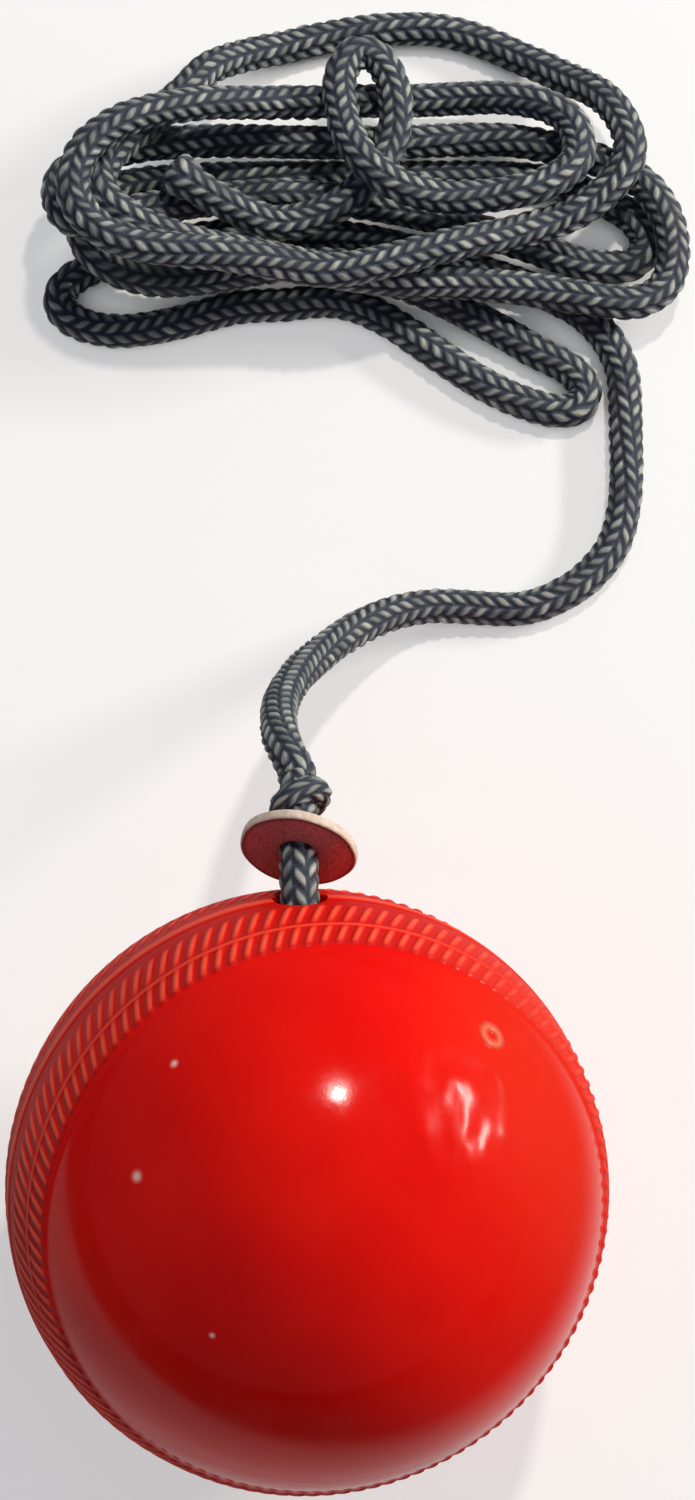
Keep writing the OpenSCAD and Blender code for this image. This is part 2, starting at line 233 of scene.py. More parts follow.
# %% [markdown]
# ## From the knot to the cut end
#
# The lead leaves the knot, comes down in one easy curve and joins the pile, so lead and
# pile are one line. It could start at its own first point, but the knot says where the
# cord comes out, so the first few points are eased over to it. A second line runs through
# the ball: from the knot in its foot, over the lip in a bend and up to the stop knot.

# %% The two lines of the cord
ease_in = np.clip(1 - np.arange(len(lead_route)) / 8, 0, 1)[:, None]
lead = np.array(lead_route) + [0, 0, cord_r] + ease_in * (knot_far - lead_from)
lead = np.vstack([knot_far, knot_far + 0.3 * 2 * cord_r * cord_dir, lead])
free_way = np.vstack([smooth(lead, 2)[:-1], pile])
turn = np.linspace(0, bend, 9)[1:]
through_way = np.vstack(
    [in_hole(0, s) for s in np.linspace(-foot_s, bend_s, 7)]
    + [in_hole(bend_r * (1 - math.cos(b)), bend_s + bend_r * math.sin(b)) for b in turn]
    + [bend_end + knot_s * cord_dir]
)
print("free cord", round(run(free_way)[-1]), "mm, cord through the ball", round(run(through_way)[-1]), "mm")

# %% [markdown]
# ## Shader maths as plain expressions
#
# A finish is a small tree of nodes. It could be wired node by node, but that hides what
# it does. So one class wraps a socket and turns `+`, `-`, `*` and `**` into Math nodes,
# also with a number on the left, and a finish reads like the sum that it is.


# %% A socket that does sums
class Socket:
    """One output of a shader tree that can be added, multiplied and so on."""

    def __init__(self, finish, out):
        self.finish, self.out = finish, out

    def maths(self, operation, a, b):
        return self.finish.node("ShaderNodeMath", {"operation": operation}, {0: a, 1: b})

    def __add__(self, other):
        return self.maths("ADD", self, other)

    def __radd__(self, other):
        return self.maths("ADD", other, self)

    def __sub__(self, other):
        return self.maths("SUBTRACT", self, other)

    def __rsub__(self, other):
        return self.maths("SUBTRACT", other, self)

    def __mul__(self, other):
        return self.maths("MULTIPLY", self, other)

    def __rmul__(self, other):
        return self.maths("MULTIPLY", other, self)

    def __pow__(self, other):
        return self.maths("POWER", self, other)

    def __rpow__(self, other):
        return self.maths("POWER", other, self)

    def fade(self, low, high):
        """0 below low, 1 above high and smooth between."""
        settings = {"interpolation_type": "SMOOTHSTEP"}
        inputs = {"Value": self, "From Min": low, "From Max": high}
        return self.finish.node("ShaderNodeMapRange", settings, inputs)


print("sums on sockets ready")

# %% [markdown]
# ## Finishes
#
# Every node of a finish comes from one method, which sets the node up and then fills its
# sockets with values or links. Short methods on top of it give what the finishes here
# share: mixed colours, noise, spots, numbers painted on the mesh, and bump. Their sizes are
# in millimetres, so that a mark can be measured on the real thing and written down.


# %% A finish and its nodes
class Finish:
    """A material and the nodes that make it."""

    def __init__(self, name):
        self.material = bpy.data.materials.new(name)
        self.material.use_nodes = True
        self.tree = self.material.node_tree
        self.tree.nodes.clear()

    def node(self, kind, settings=None, inputs=None, out=0):
        """Adds one node: its settings first, then the values or links of its sockets."""
        made = self.tree.nodes.new(kind)
        for key, value in (settings or {}).items():
            setattr(made, key, value)
        for key, value in (inputs or {}).items():
            if isinstance(value, Socket):
                self.tree.links.new(value.out, made.inputs[key])
            else:
                made.inputs[key].default_value = value
        return Socket(self, made.outputs[out]) if made.outputs else None

    def mix(self, share, a, b):
        """Colour b over colour a by share."""
        a = a if isinstance(a, Socket) else (*a, 1.0)
        b = b if isinstance(b, Socket) else (*b, 1.0)
        return self.node("ShaderNodeMix", {"data_type": "RGBA"}, {0: share, 6: a, 7: b}, out=2)

    def place(self):
        """Where a point lies on its own piece."""
        return self.node("ShaderNodeTexCoord", out="Object")

    def noise(self, size_mm, detail=3.0, rough=0.55, at=None):
        """Cloudy noise whose features are about size_mm across."""
        at = self.place() if at is None else at
        inputs = {"Vector": at, "Scale": 1000.0 / size_mm, "Detail": detail, "Roughness": rough}
        return self.node("ShaderNodeTexNoise", {}, inputs)

    def near(self, spot_mm, full_mm, gone_mm):
        """1 close to a spot, 0 beyond a distance from it."""
        ends = {0: self.place(), 1: tuple(v * MM for v in spot_mm)}
        away = self.node("ShaderNodeVectorMath", {"operation": "DISTANCE"}, ends, out="Value")
        return away.fade(gone_mm * MM, full_mm * MM)

    def painted(self, name):
        """A number kept on the mesh for each of its points."""
        return self.node("ShaderNodeAttribute", {"attribute_name": name}, out="Fac")

    def bump(self, height, distance_mm, strength=1.0, normal=None):
        """Small relief from a height, over another relief if there is one."""
        inputs = {"Height": height, "Distance": distance_mm * MM, "Strength": strength}
        if normal is not None:
            inputs["Normal"] = normal
        return self.node("ShaderNodeBump", {}, inputs)

    def skin(self, **sockets):
        """Ends the tree in the general surface shader."""
        inputs = {key.replace("_", " "): value for key, value in sockets.items()}
        shader = self.node("ShaderNodeBsdfPrincipled", {}, inputs)
        self.node("ShaderNodeOutputMaterial", {}, {"Surface": shader})
        return self.material


print("finish helpers ready")

# %% [markdown]
# ## Meshes from rings
#
# Most pieces here are a stack of rings: round the cord, or round the ball's seam axis.
# A modifier could sweep a section along a line, but then no point could carry a stitch of
# its own. Rings of equal count join by quads. Where a ring has half as many points as the
# one before, triangles take up the step, so fine detail can sit beside a plain stretch.


# %% Join rings into faces
def join_rings(counts):
    """Faces for a closed stack of rings with the given point counts."""
    faces, start = [], 0
    for n, m in zip(counts[:-1], counts[1:]):
        a, b = start + np.arange(n), start + n + np.arange(m)
        if m == n:
            faces += np.c_[a, np.roll(a, -1), np.roll(b, -1), b].tolist()
        elif n == 2 * m:
            even, odd, then = a[::2], a[1::2], np.roll(a[::2], -1)
            faces += np.c_[even, odd, b].tolist()
            faces += np.c_[odd, then, np.roll(b, -1)].tolist()
            faces += np.c_[odd, np.roll(b, -1), b].tolist()
        else:
            even, odd, then = b[::2], b[1::2], np.roll(b[::2], -1)
            faces += np.c_[a, odd, even].tolist()
            faces += np.c_[np.roll(a, -1), then, odd].tolist()
            faces += np.c_[a, np.roll(a, -1), odd].tolist()
        start += n
    faces.append(list(range(counts[0]))[::-1])
    faces.append(list(range(start, start + counts[-1])))
    return faces


print("a box of two rings has", len(join_rings([4, 4])), "faces")


# %% A piece from points and faces
def new_piece(name, points_mm, faces, material, painted=None):
    """A smooth mesh object; painted holds numbers for its points."""
    mesh = bpy.data.meshes.new(name)
    mesh.from_pydata((np.asarray(points_mm) * MM).tolist(), [], faces)
    mesh.shade_smooth()
    for key, values in (painted or {}).items():
        values = np.asarray(values, float)
        kind = "FLOAT" if values.ndim == 1 else "FLOAT_VECTOR"
        layer = mesh.attributes.new(key, kind, "POINT")
        layer.data.foreach_set("value" if values.ndim == 1 else "vector", values.ravel())
    mesh.materials.append(material)
    piece = bpy.data.objects.new(name, mesh)
    bpy.context.scene.collection.objects.link(piece)
    return piece


print("mesh helpers ready")

# %% [markdown]
# ## The braid
#
# The cord is a round braid of charcoal fibre: eight columns of plump stitches, leaning
# left and right by turns, so that two neighbours make a V. It could be a plain tube with
# a bump pattern, but the pile is seen from close by and its outline has to show the
# stitches. So each stitch is real relief: the tube's radius swells where a stitch lies
# on top and sinks where one dives under the next.

# %% Braid sizes
columns = 8
stitch_len = 2.1
around = 64
ring_gap = 0.33
braid_r = cord_r * 1.03
print("braid of", columns, "columns,", stitch_len, "mm a stitch")


# %% Even steps and steady sides
def evenly(points, gap):
    """The same line with points an even gap apart."""
    fine = smooth(points, 8)
    s = run(fine)
    at = np.linspace(0, s[-1], max(3, int(s[-1] / gap)))
    return np.c_[tuple(np.interp(at, s, fine[:, k]) for k in range(3))], at


def carried_sides(points):
    """Two directions square to the line that don't twist along it."""
    t = np.gradient(points, axis=0)
    t /= np.linalg.norm(t, axis=1)[:, None]
    u = np.cross(t[0], [0.0, 0.0, 1.0])
    sides = []
    for d in t:
        u = u - d * (u @ d)
        u /= np.linalg.norm(u)
        sides.append(u)
    sides = np.array(sides)
    return sides, np.cross(t, sides)


print("free cord in", len(evenly(free_way, ring_gap)[1]), "rings")


# %% Stitches and the braided tube
def stitches(c, s):
    """Height, number and own directions of the stitch at column c and distance s."""
    k = np.floor(c)
    across = 2 * (c - k) - 1
    lean = np.where(k % 2 == 0, 1.0, -1.0)
    w = s / stitch_len + 0.5 * (k % 2) + 0.36 * lean * across
    number = np.floor(w)
    x = 2 * (w - number) - 1
    top = np.clip(1 - across**4, 0, 1) ** 0.7 * np.clip(1 - (x / 0.92) ** 2, 0, 1) ** 0.7
    return top, number + 131.0 * (k % columns), np.stack([across, x, lean], -1)


def braid_tube(points, radius, twist=0.004, round_end=False, fat=None):
    """Points, faces, painted numbers and line of a braided tube along a way."""
    line, s = evenly(points, ring_gap)
    u, v = carried_sides(line)
    turn = 2 * math.pi * np.arange(around) / around
    wander = twist * s + 0.05 * np.sin(s / 23) + 0.03 * np.sin(s / 9 + 1)
    c = (np.arange(around) / around * columns)[None, :] + (wander * columns)[:, None]
    top, number, lie = stitches(c % columns, s[:, None])
    tone = np.modf(np.abs(np.sin(number * 12.9898) * 43758.5453))[0]
    relief = 0.8 + (0.22 + 0.05 * tone) * top
    shrink = np.ones(len(s))
    if round_end:
        left = s[-1] - s
        shrink *= np.sqrt(np.clip(1 - np.clip(1 - left / (0.55 * radius), 0, 1) ** 2, 0.02, 1))
        shrink *= 1 + 0.3 * np.exp(-(((left - 2.0) / 1.8) ** 2))
        tone = np.clip(tone + 0.6 * np.exp(-((left / 3) ** 2))[:, None], 0, 1)
    if fat is not None:
        shrink *= np.interp(s / s[-1], np.linspace(0, 1, len(fat)), fat)
    r = radius * relief * shrink[:, None]
    ring = np.cos(turn)[None, :, None] * u[:, None, :] + np.sin(turn)[None, :, None] * v[:, None, :]
    xyz = line[:, None, :] + r[:, :, None] * ring
    painted = {"top": top.ravel(), "tone": tone.ravel(), "lie": lie.reshape(-1, 3)}
    return xyz.reshape(-1, 3), join_rings([around] * len(s)), painted, line


print("braid", round(2 * braid_r * 0.8, 2), "mm across in its grooves")

# %% [markdown]
# ## Charcoal fibre
#
# The fibre is dark grey. The crest of each stitch is painted pale as painted highlight, and
# the rest of it bluish near-black as painted shade, which gives the cold cast. A picture of
# braid could be wrapped round the tube, but the numbers painted on the mesh know where each
# stitch lies and stay sharp from close by. Fine lines along each stitch stand for the
# filaments. The grooves between stitches are thus painted nearly black, and no two stitches
# have quite one tone.

# %% Filaments
fibre = Finish("charcoal_fibre")
top = fibre.painted("top")
tone = fibre.painted("tone")
lie = fibre.node("ShaderNodeAttribute", {"attribute_name": "lie"}, out="Vector")
stretch = fibre.node("ShaderNodeVectorMath", {"operation": "MULTIPLY"}, {0: lie, 1: (1.2, 9.0, 1.0)})
shift = fibre.node("ShaderNodeCombineXYZ", {}, {"X": tone * 40, "Z": tone * 17})
strand_at = fibre.node("ShaderNodeVectorMath", {"operation": "ADD"}, {0: stretch, 1: shift})
filament = fibre.node("ShaderNodeTexNoise", {}, {"Vector": strand_at, "Scale": 1.0, "Detail": 2.0})
print("filament nodes", len(fibre.tree.nodes))

# %% Cord finish
# Painted light: the crest of each stitch is pale as painted highlight, and the rest is bluish near-black as
# painted shade.
lit = fibre.mix(tone, (0.185, 0.205, 0.195), (0.58, 0.605, 0.53))
fibre_shade = fibre.mix(tone, (0.038, 0.048, 0.074), (0.055, 0.067, 0.096))
body = fibre.mix(top.fade(0.55, 1.05), fibre_shade, lit)
gap_grey = (0.05, 0.057, 0.07)
thread = fibre.mix((filament - 0.5) * 1.4 + 0.25, body, gap_grey)
dust = fibre.noise(9.0).fade(0.55, 0.75) * 0.12
dust_brown = (0.2, 0.19, 0.15)
cord_finish = fibre.skin(
    Base_Color=fibre.mix(dust, thread, dust_brown),
    Roughness=0.62 - 0.2 * top,
    Normal=fibre.bump(filament, 0.12, 0.8),
    Specular_IOR_Level=0.3,
)
print("finish", cord_finish.name)

# %% [markdown]
# ## Two lengths of one cord
#
# On the real object this is one cord. The solids part it at the stop knot, so it is made
# as two tubes, and the knot hides where they meet. One tube could be cut in two, but made
# apart each keeps an end of its own. The free one ends in sight, and its cut end is
# rounded, a little swollen and paler.

# %% The free cord
xyz, faces, painted, free_line = braid_tube(free_way, braid_r, round_end=True)
free_cord = new_piece("free_cord", xyz, faces, cord_finish, painted)
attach(free_cord, "cord")
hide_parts("cord_lead", "cord_pile")
print("free cord", len(xyz), "points")

# %% The cord through the ball
xyz, faces, painted, _ = braid_tube(np.vstack([through_way, knot_far]), braid_r)
through_cord = new_piece("through_cord", xyz, faces, cord_finish, painted)
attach(through_cord, "cord")
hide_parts("cord_neck")
print("through cord", len(xyz), "points")

# %% [markdown]
# ## The knots
#
# A knot that is pulled down hard swallows its own shape: strands flatten and bury each
# other. It could be tied in full, but most of it would never show. What shows is one
# strand that wraps round the cord, bulges on one side and dives under itself. So each
# knot is a length of the same braid, wound round the cord in the space of its solid.


# %% Wind a strand
def wrapped(foot, axis, u, v, low, high, thin, fat, turns, start):
    """A line wound round an axis: low and thin on one side, high and fat on the other."""
    t = np.linspace(0, 1, int(30 * turns))
    angle = start + 2 * math.pi * turns * t
    side = (1 + np.cos(angle)) / 2
    dive = np.clip(np.minimum(t, 1 - t) / 0.15, 0, 1) ** 0.5
    r = (thin + (fat - thin) * side) * (0.5 + 0.5 * dive)
    lift = low + (high - low) * side + 1.2 * (t - 0.5)
    ring = np.cos(angle)[:, None] * u + np.sin(angle)[:, None] * v
    return foot + lift[:, None] * axis + r[:, None] * ring


knot_foot = bend_end + knot_s * cord_dir
stop_way = wrapped(knot_foot, cord_dir, side_dir, over_dir, 1.9, 4.1, 2.1, 2.6, 1.4, 2.0)
foot_way = wrapped(in_hole(0, -foot_s), -hole_dir, side_dir, down_dir, 2.6, 4.6, 2.6, 3.0, 1.8, 0.5)
tail_s = -foot_s - np.array([5.6, 6.6, 7.4])
tail = [in_hole(y, s) for y, s in zip((1.0, 0.6, 0.3), tail_s)]
print("strand in the stop knot", round(run(stop_way)[-1], 1), "mm")

# %% Tie the knots
xyz, faces, painted, _ = braid_tube(stop_way, 1.6, twist=0.01, fat=[0.75, 1, 1, 1, 0.75])
stop_knot = new_piece("stop_knot_strand", xyz, faces, cord_finish, painted)
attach(stop_knot, "cord")
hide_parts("stop_knot")

xyz, faces, painted, _ = braid_tube(np.vstack([foot_way, tail]), 1.9, twist=0.01, round_end=True)
foot_knot = new_piece("foot_knot_strand", xyz, faces, cord_finish, painted)
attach(foot_knot, "cord")
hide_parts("foot_knot")
print("two knots tied")

# %% [markdown]
# ## Punched leather
#
# The washers are punched from offcuts of red leather. The faces keep the dyed skin and the
# cut edge shows the pale flesh. Two materials on one disc could do that, but a number
# painted on the mesh also gives the soft change between them. A dark line just inside the
# outer edge of the faces is painted shade.

# %% Leather finish
leather = Finish("punched_leather")
cut = leather.painted("cut")
grain = leather.noise(0.9, 4.0, 0.6)
pore_place = {"Vector": leather.place(), "Scale": 1500.0}
pores = leather.node("ShaderNodeTexVoronoi", {"feature": "DISTANCE_TO_EDGE"}, pore_place)
worn = leather.noise(5.0, 3.0).fade(0.42, 0.7)
dyed = leather.mix(worn, (0.52, 0.2, 0.19), (0.64, 0.19, 0.17))
dyed = leather.mix(pores.fade(0.12, 0.0) * 0.5, dyed, (0.16, 0.035, 0.03))
# Painted shade: a dark line just inside the outer edge of each face.
dyed = leather.mix(leather.painted("edge_shade") * 0.8, dyed, (0.09, 0.014, 0.018))
flesh = leather.mix(grain.fade(0.3, 0.7), (0.6, 0.46, 0.38), (0.74, 0.61, 0.5))
leather_finish = leather.skin(
    Base_Color=leather.mix(cut.fade(0.35, 0.65), dyed, flesh),
    Roughness=0.5 + 0.25 * cut,
    Normal=leather.bump(grain + pores, 0.15, 0.6),
)
print("finish", leather_finish.name)

# %% [markdown]
# ### The discs
#
# A punch leaves a slightly rolled edge, and the disc cups a little where the knot pulls on
# it. A cylinder with a hole would be quicker and look like plastic. So the section is a
# loop with rounded corners, turned round the hole with a gentle wobble.

# %% Section of a disc
washer_r = 7.1
edge_roll = 0.3


def disc_section(hole_r):
    """A loop of (radius, height) with four rolled corners."""
    corner = np.radians([0, 30, 60, 90])
    ends = []
    for r0, sign in ((washer_r - edge_roll, 1), (hole_r + edge_roll, -1)):
        arc = [
            (r0 + sign * edge_roll * math.sin(a), washer_half - edge_roll + edge_roll * math.cos(a))
            for a in corner
        ]
        arc += [(r, -z) for r, z in arc[::-1]]
        ends.append(arc if sign > 0 else arc[::-1])
    top_face = [(r, washer_half) for r in np.linspace(hole_r + edge_roll, washer_r - edge_roll, 9)[1:-1]]
    low_face = [(r, -washer_half) for r in np.linspace(washer_r - edge_roll, hole_r + edge_roll, 9)[1:-1]]
    return np.array(top_face + ends[0] + low_face + ends[1])


print("disc section of", len(disc_section(2.3)), "points")


# %% A leather disc
def ease(x, low, high):
    """0 below low, 1 above high and smooth between."""
    t = np.clip((x - low) / (high - low), 0, 1)
    return t * t * (3 - 2 * t)


def leather_disc(name, centre, axis, u, v, hole_r, cup):
    """A cupped disc with rolled edges; its numbers say where it was cut and where shade is painted."""
    loop = disc_section(hole_r)
    n, m = 96, len(loop)
    angle = 2 * math.pi * np.arange(n) / n
    wobble = 1 + 0.008 * np.sin(3 * angle + 0.7) + 0.005 * np.sin(7 * angle)
    r = loop[:, 0][:, None] * wobble[None, :]
    pull = (r / washer_r) ** 2
    z = loop[:, 1][:, None] + cup * pull + 0.06 * np.sin(2 * angle + 1)[None, :] * pull
    ring = np.cos(angle)[:, None] * u + np.sin(angle)[:, None] * v
    xyz = centre + r[:, :, None] * ring[None] + z[:, :, None] * axis
    faces = []
    for i in range(m):
        a, b = i * n + np.arange(n), (i + 1) % m * n + np.arange(n)
        faces += np.c_[a, b, np.roll(b, -1), np.roll(a, -1)].tolist()
    rim = np.abs(loop[:, 1]) < washer_half - 0.04
    cut_here = np.where(rim & (loop[:, 0] > washer_r - 2 * edge_roll), 1.0, np.where(rim, 0.6, 0.0))
    # Painted shade: rises to 1 just inside the outer edge of the faces.
    edge_shade = np.where(rim, 0.0, ease(loop[:, 0], washer_r - 0.9, washer_r - 0.4))
    painted = {"cut": np.repeat(cut_here, n), "edge_shade": np.repeat(edge_shade, n)}
    return new_piece(name, xyz.reshape(-1, 3), faces, leather_finish, painted)


print("disc", 2 * washer_r, "mm across")

# %% Punch the washers
washer_lean = math.radians(10)
washer_axis = math.cos(washer_lean) * cord_dir + math.sin(washer_lean) * side_dir
washer_u = math.cos(washer_lean) * side_dir - math.sin(washer_lean) * cord_dir
washer_at = bend_end + (washer_s + washer_half) * cord_dir - 0.15 * over_dir
top_washer = leather_disc("stop_washer", washer_at, washer_axis, washer_u, over_dir, 2.2, 0.1)
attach(top_washer, "washer")
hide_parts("top_washer")

foot_at = in_hole(0, -foot_s + washer_half)
foot_washer = leather_disc("recessed_washer", foot_at, hole_dir, side_dir, down_dir, 2.3, 0.0)
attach(foot_washer, "cord")
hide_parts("foot_washer")
print("two washers punched")

# %% [markdown]
# ## The moulded cover
#
# The ball is moulded in two halves. The seam isn't sewn: its stitches, its thin ridges and
# its parting line are all part of the mould, raised on a low band. Every stitch could be a
# mesh of its own, but moulded ones grow out of the skin without a joint. So a height over
# the plain ball describes them all.

# %% Seam relief
seam_x = math.cos(seam_turn) * side_dir + math.sin(seam_turn) * down_dir
seam_y = math.cos(seam_turn) * down_dir - math.sin(seam_turn) * side_dir
stitch_count = 116
stitch_pitch = 2 * math.pi * ball_r / stitch_count
band_h, ridge_h, stitch_h = 0.3, 0.2, 0.25
stitch_rows = ((6.2, 2.7), (11.5, 2.0))


def hump(x):
    """Half a round section, 1 high in its middle and 0 from 1 on."""
    return np.sqrt(np.clip(1 - x**2, 0, 1))


def seam_relief(d, x, slant):
    """Height over the plain ball at distance d from the seam's middle, x along it."""
    band = band_h * (1 - ease(d, 12.9, 14.1))
    ridge = ridge_h * hump((d - 9.3) / 0.4) + ridge_h * (1 - ease(d, 0.7, 1.1))
    rows = 0.0
    for row, reach in stitch_rows:
        at = (x + slant * 0.42 * (d - row)) / stitch_pitch
        off = (at - np.floor(at) - 0.5) * stitch_pitch
        rows = rows + stitch_h * hump(off / 0.5) * hump((d - row) / reach) ** 0.8
    return band + np.maximum(ridge, rows)


print("stitches", stitch_count, "a row,", round(stitch_pitch, 2), "mm apart")

# %% [markdown]
# ### Glossy red, with painted light
#
# The cover is glossy red plastic, a little cloudy. Its stitches are rougher than the plain
# skin. Their tops are painted paler as painted highlight, and the band between them is painted darker
# as painted shade. The side that faces the key is painted a darker, more orange red, and its
# stitch highlight fainter, as painted light that tones down the glare there. There are three
# small pale specks, a ring-shaped dent with painted highlight on its edge, and a patch that
# breaks up the highlight. A picture could hold such marks, but a few spots with a place and
# a size turn with the ball too.

# %% Red skin and stitches
red = Finish("moulded_red")
raised = red.painted("raised")
cloud = red.noise(22.0, 2.0)
skin = red.mix(cloud.fade(0.35, 0.7), (0.74, 0.004, 0.002), (0.82, 0.008, 0.003))
# Painted shade: the band between the stitches is darker.
groove_shade = raised.fade(0.1, 0.25) * raised.fade(0.44, 0.34)
skin = red.mix(groove_shade * 0.5, skin, (0.4, 0.003, 0.001))
# Painted light: the side that faces the key is painted a darker, more orange red, and its stitch highlight
# fades there, to tone down the glare.
glare_side = red.near((34.0, 8.0, 48.0), 12.0, 34.0)
skin = red.mix(glare_side, skin, (0.66, 0.017, 0.005))
# Painted highlight: the tops of the stitches are paler.
stitch_highlight = raised.fade(0.38, 0.58)
skin = red.mix(stitch_highlight * (0.8 - 0.55 * glare_side), skin, (0.95, 0.12, 0.05))
print("red nodes", len(red.tree.nodes))

# %% Marks and painted highlight
dent = (21.6, 14.2, 61.1)
ring = red.near(dent, 1.2, 2.1) - red.near(dent, 0.3, 1.2)
# Painted highlight: the dent's ring is painted pale.
skin = red.mix(ring * 0.3, skin, (1.0, 0.42, 0.22))
specks = (((-19.0, -3.0, 66.4), 1.1), ((-14.9, 9.8, 67.3), 0.8), ((-10.4, -20.6, 63.6), 0.6))
for spot, size in specks:
    skin = red.mix(red.near(spot, 0.0, size) ** 1.5 * 0.9, skin, (1.0, 0.7, 0.62))
handled = red.near((19.4, 5.0, 65.4), 4.0, 15.0)
longer = {0: red.place(), 1: (1.3, 0.75, 1.0)}
streaks = red.node("ShaderNodeVectorMath", {"operation": "MULTIPLY"}, longer)
ripple = red.noise(5.6, 1.0, at=streaks) * handled + 0.7 * ring
print("specks", len(specks))

# %% Cover finish
smear = red.noise(6.0, 4.0, 0.6)
peel = red.noise(0.8, 2.0)
cover_finish = red.skin(
    Base_Color=skin,
    Roughness=0.1 + 0.08 * smear.fade(0.4, 0.7) + 0.07 * handled + 0.45 * raised.fade(0.1, 0.3),
    Normal=red.bump(peel, 0.03, 0.25, red.bump(ripple, 0.9, 0.7)),
    Specular_IOR_Level=0.16,
)
print("finish", cover_finish.name)

# %% [markdown]
# ### Two halves from rings
#
# A sphere with displacement would need fine points everywhere. So each half is a stack of
# rings round the seam's axis: fine across the band, where every stitch needs points of its
# own, and coarse over the plain dome. The stack turns in at the seam and runs back along
# the inside, which makes the half a shell with the cover's real thickness.


# %% Mould the halves
def dome_ring(d, n, axis, radius=None, slant=0.0):
    """A ring of n points round the seam's axis, d mm of arc from the seam."""
    lon = 2 * math.pi * np.arange(n) / n
    lat = d / ball_r
    r = ball_r + seam_relief(d, lon * ball_r, slant) if radius is None else np.full(n, radius)
    out = np.cos(lon)[:, None] * hole_dir + np.sin(lon)[:, None] * seam_x
    return middle + r[:, None] * (math.cos(lat) * out + math.sin(lat) * axis)


def mould_half(name, axis, slant):
    """One half of the cover, from its pole to the seam and back along its inside."""
    pole = math.pi / 2 * ball_r
    plain = [(pole - 0.4, 75), (pole - 1.2, 75), (pole - 3, 75)]
    plain += [(d, 150) for d in np.arange(51.5, 20, -2.4)]
    step = [(18.4, 150), (16.6, 300), (15.4, 300), (14.6, 600), (14.2, 600)]
    fine = [(d, 1200) for d in np.arange(13.75, -0.1, -0.25)]
    outside = [dome_ring(d, n, axis, None, slant) for d, n in plain + step + fine]
    seat = [dome_ring(0, n, axis, r) for r, n in ((35.4, 600), (34.8, 300), (34, 150), (33, 75))]
    inside = ball_r - cover_t
    back = [dome_ring(d, 75, axis, inside) for d in (*np.arange(0, 51, 5), pole - 3, pole - 1)]
    stack = [*outside, *seat, *back]
    faces = join_rings([len(ring) for ring in stack])
    return new_piece(name, np.vstack(stack), faces, cover_finish)


near_half = mould_half("near_half", -seam_y, 1.0)
far_half = mould_half("far_half", seam_y, -1.0)
print("half cover", len(near_half.data.vertices), "points")

# %% [markdown]
# ### The hole and the recess
#
# The hole is drilled after moulding, with its lip eased by the cord. Rings with a gap in
# them could leave room for it, but a cut is how it is really made. One cutter does the
# mouth, the hole and the recess in the foot: a turned shape along the hole's axis.


# %% The drill
def turned(name, profile, n, material):
    """A closed shape turned about the hole's axis from (distance along, radius)."""
    angle = 2 * math.pi * np.arange(n) / n
    ring = np.cos(angle)[:, None] * side_dir + np.sin(angle)[:, None] * down_dir
    xyz = np.vstack([in_hole(0, s) + r * ring for s, r in profile])
    return new_piece(name, xyz, join_rings([n] * len(profile)), material)


def fix_normals(piece):
    """Turns all faces outwards and counts the edges that don't join two faces."""
    bm = bmesh.new()
    bm.from_mesh(piece.data)
    bmesh.ops.recalc_face_normals(bm, faces=bm.faces)
    open_edges = sum(not e.is_manifold for e in bm.edges)
    bm.to_mesh(piece.data)
    bm.free()
    return open_edges


beyond = 42
lip_turn = np.radians([0, 20, 40, 60])
lip = [(ball_r - 0.5 + 1.1 * math.sin(a), bore_r + 0.5 * (1 - math.cos(a))) for a in lip_turn]
foot_lip = [(-ball_r + 0.7 - 1.3 * math.sin(a), recess_r + 0.7 * (1 - math.cos(a))) for a in lip_turn]
drill_foot = [(-beyond, recess_r + 0.4), *foot_lip[::-1], (-24, recess_r)]
drill_top = [(-23.9, bore_r), *lip, (beyond, lip[-1][1] + 0.4)]
drill = turned("drill", drill_foot + drill_top, 96, cover_finish)
print("drill open edges", fix_normals(drill))


# %% Drill the halves
def drill_half(half):
    """Cuts the hole and notes on each point how far it stands over the plain ball."""
    before = fix_normals(half)
    cut = half.modifiers.new("drill", "BOOLEAN")
    cut.operation, cut.solver, cut.object = "DIFFERENCE", "MANIFOLD", drill
    drilled = bpy.data.meshes.new_from_object(half.evaluated_get(bpy.context.evaluated_depsgraph_get()))
    half.modifiers.clear()
    half.data = drilled
    drilled.shade_smooth()
    drilled.set_sharp_from_angle(angle=math.radians(50))
    place = np.empty(3 * len(drilled.vertices))
    drilled.vertices.foreach_get("co", place)
    away = np.linalg.norm(place.reshape(-1, 3) / MM - middle, axis=1) - ball_r
    layer = drilled.attributes.new("raised", "FLOAT", "POINT")
    layer.data.foreach_set("value", np.clip(away, 0, 1))
    print(half.name, "open edges before", before, "after", fix_normals(half))


bpy.context.view_layer.update()
for half, node in ((near_half, "cover_near"), (far_half, "cover_far")):
    drill_half(half)
    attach(half, "ball")
    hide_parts(node)
bpy.data.objects.remove(drill)

# %% [markdown]
# ## The solid middle
#
# Only the wall of the recess shows it, so its solid stays as it is and gets a finish.
# Pressed cork is a packing of brown grains with dark binder between. Noise would give it
# clouds, so a cell pattern gives the grains and the bump rounds them.

